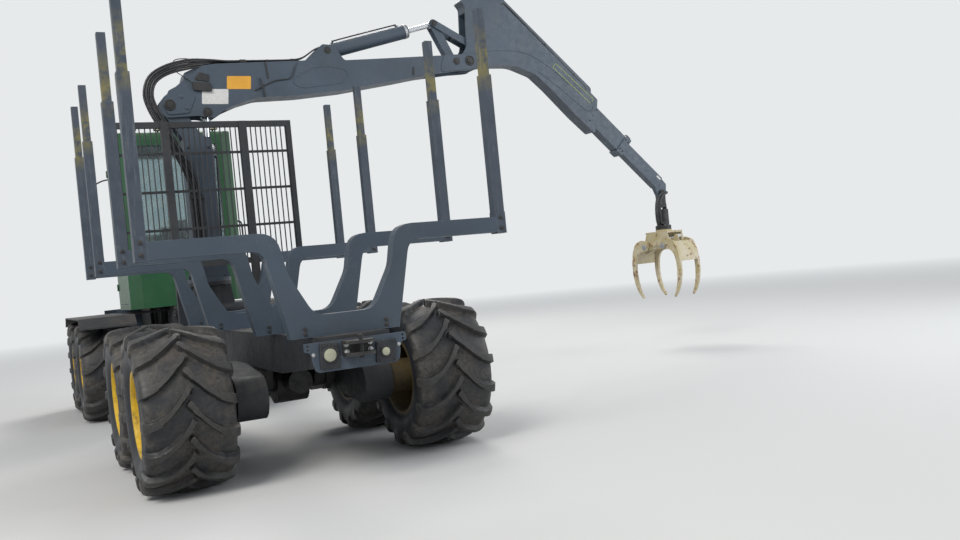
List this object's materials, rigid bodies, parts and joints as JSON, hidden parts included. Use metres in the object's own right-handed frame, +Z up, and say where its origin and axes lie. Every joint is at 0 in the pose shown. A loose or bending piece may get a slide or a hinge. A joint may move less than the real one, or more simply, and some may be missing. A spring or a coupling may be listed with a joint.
{
  "type": "forestry forwarder",
  "caption": "Articulated wheeled timber forwarder with a log bunk, a slewing telescopic loader crane and a log grapple.",
  "frame": {"origin": "on the ground under the middle of the whole machine's box", "axes": "+X to the machine's right, along the crane as it is slewed; +Y forward; +Z up"},
  "size_m": [9.0919, 9.864, 5.6281],
  "materials": {
    "slate_paint": "weathered satin slate-blue paint, scuffed at edges",
    "dark_paint": "dark blue-grey paint with rust and rubbed patches",
    "green_paint": "glossy green paint, dusty",
    "grapple_paint": "worn cream-yellow paint with rust at wear faces",
    "wheel_yellow": "yellow paint, muddy",
    "dark_iron": "oily dark cast iron",
    "rod_chrome": "polished hard chrome",
    "tyre_rubber": "worn black rubber, dusty",
    "window_glass": "tinted safety glass",
    "fender_plastic": "scuffed dark grey plastic",
    "seat_cover": "dark woven seat cover"
  },
  "bodies": {
    "rear_unit": {"rear_frame": "slate_paint", "rear_axle": "dark_iron", "rear_bogies": "slate_paint", "bolsters": "slate_paint", "stakes": "dark_paint", "headboard": "dark_paint", "tail_plate": "slate_paint", "tow_hitch": "dark_iron", "crane_base": "slate_paint"},
    "front_unit": {"front_frame": "slate_paint", "front_axle": "dark_iron", "front_bogies": "slate_paint", "front_guard": "slate_paint", "fenders": "fender_plastic", "engine": "dark_iron", "cab_shell": "green_paint", "cab_glass": "window_glass", "seat": "seat_cover"},
    "hood": {"hood": "green_paint"},
    "cab_door": {"cab_door": "green_paint", "door_glass": "window_glass"},
    "grapple": {"grapple_frame": "grapple_paint"},
    "pillar": {"pillar": "slate_paint"},
    "inner_boom": {"inner_boom": "slate_paint"},
    "lift_barrel": {"lift_barrel": "slate_paint"},
    "lift_rod": {"lift_rod": "rod_chrome"},
    "jib_barrel": {"jib_barrel": "slate_paint"},
    "jib_rod": {"jib_rod": "rod_chrome"},
    "rocker_link": {"rocker_link": "slate_paint"},
    "push_link": {"push_link": "slate_paint"},
    "outer_boom": {"outer_boom": "slate_paint"},
    "extension_1": {"extension_1": "slate_paint"},
    "extension_2": {"extension_2": "slate_paint"},
    "tip_link": {"tip_link": "dark_iron"},
    "rotator": {"rotator": "dark_iron"},
    "claw_outer": {"claw_outer": "grapple_paint"},
    "claw_inner": {"claw_inner": "grapple_paint"},
    "claw_barrel": {"claw_barrel": "dark_iron"},
    "claw_rod": {"claw_rod": "rod_chrome"},
    "steer_barrel_left": {"steer_barrel_left": "slate_paint"},
    "steer_barrel_right": {"steer_barrel_right": "slate_paint"},
    "steer_rod_left": {"steer_rod_left": "rod_chrome"},
    "steer_rod_right": {"steer_rod_right": "rod_chrome"},
    "wheel_left_1": {"tire_left_1": "tyre_rubber", "rim_left_1": "wheel_yellow"},
    "wheel_left_2": {"tire_left_2": "tyre_rubber", "rim_left_2": "wheel_yellow"},
    "wheel_left_3": {"tire_left_3": "tyre_rubber", "rim_left_3": "wheel_yellow"},
    "wheel_left_4": {"tire_left_4": "tyre_rubber", "rim_left_4": "wheel_yellow"},
    "wheel_right_1": {"tire_right_1": "tyre_rubber", "rim_right_1": "wheel_yellow"},
    "wheel_right_2": {"tire_right_2": "tyre_rubber", "rim_right_2": "wheel_yellow"},
    "wheel_right_3": {"tire_right_3": "tyre_rubber", "rim_right_3": "wheel_yellow"},
    "wheel_right_4": {"tire_right_4": "tyre_rubber", "rim_right_4": "wheel_yellow"}
  },
  "joints": [
    {"name": "steer", "type": "hinge", "parent": "rear_unit", "child": "front_unit", "pos_m": [-3.04603, 1.118, 1.015], "axis": [0, 0, -1], "range_deg": [-44, 44]},
    {"name": "roll_left_1", "type": "hinge", "parent": "front_unit", "child": "wheel_left_1", "pos_m": [-4.18103, 3.718, 0.67], "axis": [1, 0, 0], "continuous": true},
    {"name": "roll_left_2", "type": "hinge", "parent": "front_unit", "child": "wheel_left_2", "pos_m": [-4.18103, 2.218, 0.67], "axis": [1, 0, 0], "continuous": true},
    {"name": "roll_left_3", "type": "hinge", "parent": "rear_unit", "child": "wheel_left_3", "pos_m": [-4.18103, -1.982, 0.67], "axis": [1, 0, 0], "continuous": true},
    {"name": "roll_left_4", "type": "hinge", "parent": "rear_unit", "child": "wheel_left_4", "pos_m": [-4.18103, -3.482, 0.67], "axis": [1, 0, 0], "continuous": true},
    {"name": "roll_right_1", "type": "hinge", "parent": "front_unit", "child": "wheel_right_1", "pos_m": [-1.91103, 3.718, 0.67], "axis": [1, 0, 0], "continuous": true},
    {"name": "roll_right_2", "type": "hinge", "parent": "front_unit", "child": "wheel_right_2", "pos_m": [-1.91103, 2.218, 0.67], "axis": [1, 0, 0], "continuous": true},
    {"name": "roll_right_3", "type": "hinge", "parent": "rear_unit", "child": "wheel_right_3", "pos_m": [-1.91103, -1.982, 0.67], "axis": [1, 0, 0], "continuous": true},
    {"name": "roll_right_4", "type": "hinge", "parent": "rear_unit", "child": "wheel_right_4", "pos_m": [-1.91103, -3.482, 0.67], "axis": [1, 0, 0], "continuous": true},
    {"name": "hood_tilt", "type": "hinge", "parent": "front_unit", "child": "hood", "pos_m": [-3.04603, 4.758, 1.5], "axis": [-1, 0, 0], "range_deg": [0, 60]},
    {"name": "door_swing", "type": "hinge", "parent": "front_unit", "child": "cab_door", "pos_m": [-3.84003, 3.2905, 2.6], "axis": [0, 0, -1], "range_deg": [0, 80]},
    {"name": "slew", "type": "hinge", "parent": "rear_unit", "child": "pillar", "pos_m": [-3.04603, 0.518, 1.72], "axis": [0, 0, 1], "range_deg": [-280, 100]},
    {"name": "lift", "type": "hinge", "parent": "pillar", "child": "inner_boom", "pos_m": [-3.34603, 0.518, 3.92], "axis": [0, 1, 0], "range_deg": [-64, 28]},
    {"name": "jib", "type": "hinge", "parent": "inner_boom", "child": "outer_boom", "pos_m": [0.85397, 0.518, 4.53], "axis": [0, -1, 0], "range_deg": [-85, 50]},
    {"name": "telescope", "type": "slide", "parent": "outer_boom", "child": "extension_1", "axis": [0.7254, 0, -0.6884], "range_m": [-0.43, 0.9]},
    {"name": "telescope_2", "type": "slide", "parent": "extension_1", "child": "extension_2", "axis": [0.7254, 0, -0.6884], "range_m": [-0.43, 0.9]},
    {"name": "tip_swing", "type": "hinge", "parent": "extension_2", "child": "tip_link", "pos_m": [4.17203, 0.518, 2.47177], "axis": [0, -1, 0], "range_deg": [-50, 80]},
    {"name": "cross_swing", "type": "hinge", "parent": "tip_link", "child": "rotator", "pos_m": [4.17203, 0.518, 2.28177], "axis": [1, 0, 0], "range_deg": [-25, 25]},
    {"name": "rotate", "type": "hinge", "parent": "rotator", "child": "grapple", "pos_m": [4.17203, 0.518, 1.88177], "axis": [0, 0, 1], "continuous": true},
    {"name": "claws", "type": "hinge", "parent": "grapple", "child": "claw_outer", "pos_m": [4.12545, 0.69187, 1.62177], "axis": [0.9659, 0.2588, 0], "range_deg": [-23, 38]},
    {"name": "claw_inner_turn", "type": "hinge", "parent": "grapple", "child": "claw_inner", "pos_m": [4.21862, 0.34413, 1.62177], "axis": [-0.9659, -0.2588, 0], "range_deg": [-23, 38]},
    {"name": "claw_barrel_turn", "type": "hinge", "parent": "claw_outer", "child": "claw_barrel", "pos_m": [4.10319, 0.77494, 1.75377], "axis": [-0.9659, -0.2588, 0], "range_deg": [-23, 38]},
    {"name": "claw_rod_slide", "type": "slide", "parent": "claw_barrel", "child": "claw_rod", "axis": [0.2588, -0.9659, 0], "range_m": [-0.16, 0.1]},
    {"name": "lift_barrel_turn", "type": "hinge", "parent": "pillar", "child": "lift_barrel", "pos_m": [-2.97103, 0.518, 2], "axis": [0, 1, 0], "range_deg": [-3, 2]},
    {"name": "lift_rod_slide", "type": "slide", "parent": "lift_barrel", "child": "lift_rod", "axis": [0.0409, 0, 0.9992], "range_m": [-0.21, 0.48]},
    {"name": "jib_barrel_turn", "type": "hinge", "parent": "inner_boom", "child": "jib_barrel", "pos_m": [-1.25603, 0.518, 4.64], "axis": [0, -1, 0], "range_deg": [-2, 2]},
    {"name": "jib_rod_slide", "type": "slide", "parent": "jib_barrel", "child": "jib_rod", "axis": [0.9666, 0, 0.2564], "range_m": [-0.35, 0.58]},
    {"name": "rocker_turn", "type": "hinge", "parent": "inner_boom", "child": "rocker_link", "pos_m": [0.65397, 0.518, 4.52], "axis": [0, -1, 0], "range_deg": [-62, 38]},
    {"name": "push_turn", "type": "hinge", "parent": "rocker_link", "child": "push_link", "pos_m": [0.38397, 0.518, 5.075], "axis": [0, -1, 0], "range_deg": [-10, 16]},
    {"name": "steer_barrel_turn_left", "type": "hinge", "parent": "rear_unit", "child": "steer_barrel_left", "pos_m": [-3.42603, 0.318, 1.015], "axis": [0, 0, -1], "range_deg": [-6, 6]},
    {"name": "steer_rod_slide_left", "type": "slide", "parent": "steer_barrel_left", "child": "steer_rod_left", "axis": [0.0515, 0.9987, 0], "range_m": [-0.25, 0.25]},
    {"name": "steer_barrel_turn_right", "type": "hinge", "parent": "rear_unit", "child": "steer_barrel_right", "pos_m": [-2.66603, 0.318, 1.015], "axis": [0, 0, -1], "range_deg": [-6, 6]},
    {"name": "steer_rod_slide_right", "type": "slide", "parent": "steer_barrel_right", "child": "steer_rod_right", "axis": [-0.0515, 0.9987, 0], "range_m": [-0.25, 0.25]}
  ],
  "couplings": [
    {"joint": "telescope_2", "follows": "telescope", "ratio": 1},
    {"joint": "claw_inner_turn", "follows": "claws", "ratio": 1},
    {"joint": "claw_barrel_turn", "follows": "claws", "ratio": 1},
    {"joint": "claw_rod_slide", "follows": "claws", "m_per_rad": -0.23},
    {"joint": "lift_barrel_turn", "follows": "lift", "ratio": 0.035},
    {"joint": "lift_rod_slide", "follows": "lift", "m_per_rad": -0.412},
    {"joint": "jib_barrel_turn", "follows": "jib", "ratio": -0.015},
    {"joint": "jib_rod_slide", "follows": "jib", "m_per_rad": -0.378},
    {"joint": "rocker_turn", "follows": "jib", "ratio": 0.677},
    {"joint": "push_turn", "follows": "jib", "ratio": -0.171},
    {"joint": "steer_barrel_turn_left", "follows": "steer", "ratio": 0.1216},
    {"joint": "steer_rod_slide_left", "follows": "steer", "m_per_rad": 0.3164},
    {"joint": "steer_barrel_turn_right", "follows": "steer", "ratio": 0.1216},
    {"joint": "steer_rod_slide_right", "follows": "steer", "m_per_rad": -0.3164}
  ]
}
